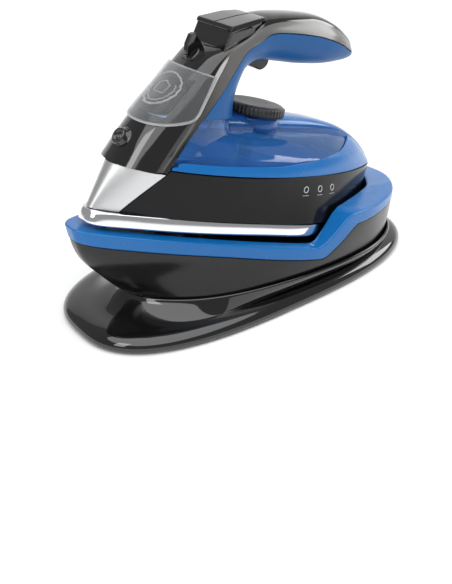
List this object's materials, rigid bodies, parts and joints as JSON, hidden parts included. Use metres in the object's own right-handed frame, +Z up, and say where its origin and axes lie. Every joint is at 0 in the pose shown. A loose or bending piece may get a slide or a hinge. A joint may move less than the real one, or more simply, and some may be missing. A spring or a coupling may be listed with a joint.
{
  "type": "cordless steam iron on charging base",
  "caption": "Cordless steam iron resting nose-high in its charging base, with a lift-off iron, filler door, thermostat dial, trigger, steam lever and pump buttons.",
  "frame": {"origin": "centre of the base's foot print on the table", "axes": "+X towards the iron's heel, the nose towards -X, +Z up"},
  "size_m": [0.3014, 0.143, 0.2072],
  "materials": {
    "black_gloss": "mirror-gloss moulded black plastic",
    "black_satin": "satin moulded black plastic",
    "blue_gloss": "gloss moulded mid-blue plastic",
    "tank_clear": "tinted blue see-through plastic",
    "door_clear": "clear polished plastic",
    "funnel_grey": "smooth dark grey plastic",
    "sole_steel": "polished stainless steel",
    "nose_metal": "fine brushed aluminium",
    "cast_metal": "rough die casting",
    "element_steel": "oxidised steel sheath",
    "zinc_steel": "zinc-plated steel",
    "contact_brass": "plated brass",
    "rubber": "soft black rubber",
    "hose_rubber": "translucent silicone",
    "board_green": "glass-fibre circuit board"
  },
  "bodies": {
    "base": {"foot_shell": "black_gloss", "foot_cover": "black_satin", "rubber_feet": "rubber", "foot_screws": "zinc_steel", "ballast_plate": "zinc_steel", "cord_gland": "rubber", "contact_board": "board_green", "cradle_bowl": "black_gloss", "cradle_rim": "blue_gloss", "cradle_liner": "black_satin", "rest_pads": "rubber", "contact_block": "black_satin", "contact_blades": "contact_brass"},
    "iron": {"soleplate": "sole_steel", "heater_casting": "cast_metal", "heating_element": "element_steel", "chamber_cover": "zinc_steel", "thermostat": "contact_brass", "nose_cover": "nose_metal", "skirt": "black_gloss", "heel_cover": "black_satin", "heel_contacts": "contact_brass", "tank_band": "blue_gloss", "tank_shell": "tank_clear", "tank_floor": "blue_gloss", "grip_shell": "blue_gloss", "neck_shell": "black_gloss", "handle_top": "black_gloss", "head_block": "black_gloss", "control_panel": "black_gloss", "filler_funnel": "funnel_grey", "spray_nozzle": "black_gloss", "pumps": "funnel_grey", "pump_hoses": "hose_rubber", "trigger_pin": "zinc_steel"},
    "door": {"filler_door": "door_clear"},
    "dial": {"dial": "black_satin", "dial_shaft": "zinc_steel"},
    "lever": {"steam_lever": "black_gloss"},
    "trigger": {"trigger": "black_satin"},
    "spray_button": {"spray_button": "black_gloss"},
    "boost_button": {"boost_button": "black_gloss"}
  },
  "joints": [
    {"name": "iron_lift", "type": "slide", "parent": "base", "child": "iron", "axis": [0.2504, 0, 0.9681], "range_m": [0, 0.15]},
    {"name": "door_hinge", "type": "hinge", "parent": "iron", "child": "door", "pos_m": [-0.03166, 0, 0.18417], "axis": [0, 1, 0], "range_deg": [0, 50]},
    {"name": "dial_turn", "type": "hinge", "parent": "iron", "child": "dial", "pos_m": [0.00941, 0, 0.13533], "axis": [0.2504, 0, 0.9681], "range_deg": [0, 270]},
    {"name": "lever_turn", "type": "hinge", "parent": "iron", "child": "lever", "pos_m": [-0.04774, 0, 0.18833], "axis": [-0.617, 0, 0.787], "range_deg": [-32, 32]},
    {"name": "trigger_pull", "type": "hinge", "parent": "iron", "child": "trigger", "pos_m": [-0.00755, 0, 0.18155], "axis": [0, -1, 0], "range_deg": [0, 8], "stiffness_Nm_per_rad": 0.6, "springref_deg": -6.88},
    {"name": "spray_press", "type": "slide", "parent": "iron", "child": "spray_button", "axis": [-0.2504, 0, -0.9681], "range_m": [0, 0.0025], "stiffness_N_per_m": 600, "springref_m": -0.003},
    {"name": "boost_press", "type": "slide", "parent": "iron", "child": "boost_button", "axis": [-0.2504, 0, -0.9681], "range_m": [0, 0.0025], "stiffness_N_per_m": 600, "springref_m": -0.003}
  ]
}
